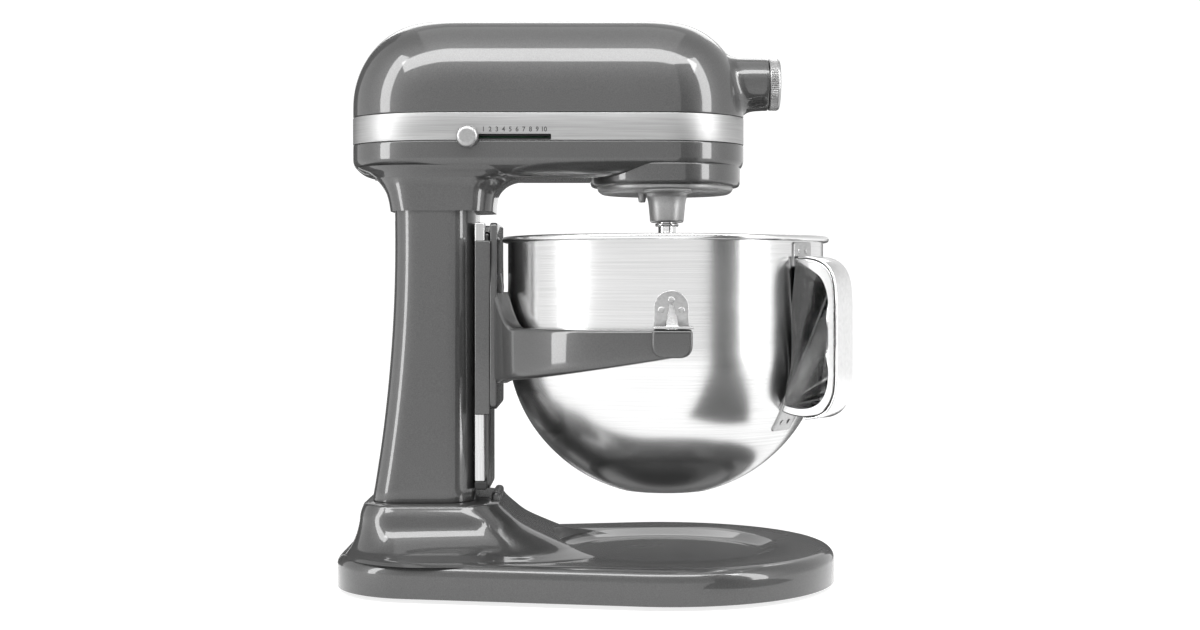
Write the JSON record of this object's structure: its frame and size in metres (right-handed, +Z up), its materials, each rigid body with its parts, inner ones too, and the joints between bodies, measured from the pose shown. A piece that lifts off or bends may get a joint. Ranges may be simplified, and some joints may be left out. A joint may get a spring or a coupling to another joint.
{
  "type": "stand mixer",
  "caption": "Bowl-lift planetary stand mixer: a heavy base and column carry a head with a planetary drive, over a steel bowl on a sliding yoke raised by a lever.",
  "frame": {"origin": "centre of the footprint on the table, under the feet", "axes": "+Z up, +X towards the front of the mixer (the attachment hub), +Y to the side with the lift lever"},
  "size_m": [0.3711, 0.272, 0.4186],
  "materials": {
    "body_paint": "metallic dark grey clearcoat",
    "brushed_trim": "brushed lengthwise",
    "rubber": "matt",
    "zinc_sheet": "plain zinc sheet",
    "bolt_steel": "zinc plated",
    "black_plastic": "fine grain",
    "silver_knob": "satin",
    "silver_paint": "silver grey satin paint",
    "chrome": "polished",
    "machined_steel": "turned",
    "gear_steel": "hobbed",
    "bearing_bronze": "sintered bronze",
    "raw_aluminium": "as cast",
    "lamination": "stacked laminations",
    "circuit_board": "solder resist",
    "bowl_steel": "brushed round the bowl",
    "handle_steel": "polished stainless"
  },
  "bodies": {
    "stand": {"base_bottom_cover": "zinc_sheet", "base_casting": "body_paint", "base_feet": "rubber", "brush_holders": "black_plastic", "centre_bearing": "bearing_bronze", "column": "body_paint", "column_bolts": "bolt_steel", "control_board": "circuit_board", "cord_gland": "rubber", "drive_bearings": "bearing_bronze", "gearcase": "raw_aluminium", "guide_rails": "brushed_trim", "head_lower_housing": "body_paint", "head_screws": "bolt_steel", "head_top_cover": "body_paint", "hub_bearing": "bearing_bronze", "hub_sleeve": "machined_steel", "internal_ring_gear": "gear_steel", "lift_shaft_bush": "bearing_bronze", "lift_spring": "machined_steel", "motor_bearings": "bearing_bronze", "motor_end_brackets": "zinc_sheet", "motor_stator": "lamination", "planetary_housing": "body_paint", "rail_stops": "black_plastic", "speed_slot_insert": "black_plastic", "trim_band": "brushed_trim"},
    "planetary": {"planetary_hub": "silver_paint", "centre_shaft": "machined_steel", "centre_bevel_gear": "gear_steel"},
    "agitator": {"agitator_shaft": "chrome", "agitator_pin": "machined_steel", "spring_washer": "machined_steel", "agitator_pinion": "gear_steel"},
    "drive_train": {"drive_shaft": "machined_steel", "drive_bevel_pinion": "gear_steel", "drive_gear": "gear_steel"},
    "hub_drive": {"hub_drive_shaft": "gear_steel"},
    "rotor": {"motor_rotor": "lamination", "motor_pinion": "gear_steel", "cooling_fan": "black_plastic"},
    "speed_control": {"speed_knob": "silver_knob"},
    "hub_cap": {"hub_cap": "silver_knob"},
    "thumb_screw": {"hub_thumb_screw": "silver_knob"},
    "bowl_support": {"bowl_support": "body_paint", "locating_pins": "chrome", "slider_pads": "black_plastic", "bowl_latch_spring": "machined_steel"},
    "bowl": {"bowl_shell": "bowl_steel", "bowl_side_brackets": "bowl_steel", "bowl_back_pin": "bowl_steel", "handle_plates": "handle_steel", "bowl_handle": "handle_steel", "handle_strip": "handle_steel"},
    "lift_lever": {"lift_shaft": "machined_steel", "lift_crank": "machined_steel", "crank_roller": "machined_steel", "lift_lever": "chrome", "lever_knob": "silver_knob"}
  },
  "joints": [
    {"name": "planetary_spin", "type": "hinge", "parent": "stand", "child": "planetary", "pos_m": [0.0552, 0, 0.3], "axis": [0, 0, 1], "continuous": true},
    {"name": "agitator_spin", "type": "hinge", "parent": "planetary", "child": "agitator", "pos_m": [0.0552, -0.036, 0.26], "axis": [0, 0, 1], "continuous": true},
    {"name": "drive_spin", "type": "hinge", "parent": "stand", "child": "drive_train", "pos_m": [0.0552, 0, 0.373], "axis": [1, 0, 0], "continuous": true},
    {"name": "hub_drive_spin", "type": "hinge", "parent": "stand", "child": "hub_drive", "pos_m": [0.0552, 0, 0.373], "axis": [1, 0, 0], "continuous": true},
    {"name": "rotor_spin", "type": "hinge", "parent": "stand", "child": "rotor", "pos_m": [0.0552, 0, 0.349], "axis": [1, 0, 0], "continuous": true},
    {"name": "speed_slide", "type": "slide", "parent": "stand", "child": "speed_control", "axis": [1, 0, 0], "range_m": [0, 0.055]},
    {"name": "hub_cap_pull", "type": "slide", "parent": "stand", "child": "hub_cap", "axis": [1, 0, 0], "range_m": [0, 0.025]},
    {"name": "thumb_screw_turn", "type": "hinge", "parent": "stand", "child": "thumb_screw", "pos_m": [0.1192, 0, 0.373], "axis": [0, 1, 0], "range_deg": [-720, 0]},
    {"name": "bowl_lift", "type": "slide", "parent": "stand", "child": "bowl_support", "axis": [0, 0, 1], "range_m": [-0.036, 0]},
    {"name": "bowl_lift_off", "type": "slide", "parent": "bowl_support", "child": "bowl", "axis": [0, 0, 1], "range_m": [0, 0.02]},
    {"name": "lift_lever_turn", "type": "hinge", "parent": "stand", "child": "lift_lever", "pos_m": [-0.1098, 0, 0.19], "axis": [0, 1, 0], "range_deg": [-110, 0]}
  ],
  "couplings": [
    {"joint": "agitator_spin", "follows": "planetary_spin", "ratio": -4.6923},
    {"joint": "drive_spin", "follows": "planetary_spin", "ratio": -2},
    {"joint": "hub_drive_spin", "follows": "planetary_spin", "ratio": 2},
    {"joint": "rotor_spin", "follows": "planetary_spin", "ratio": 6},
    {"joint": "lift_lever_turn", "follows": "bowl_lift", "rad_per_m": 53.33}
  ]
}
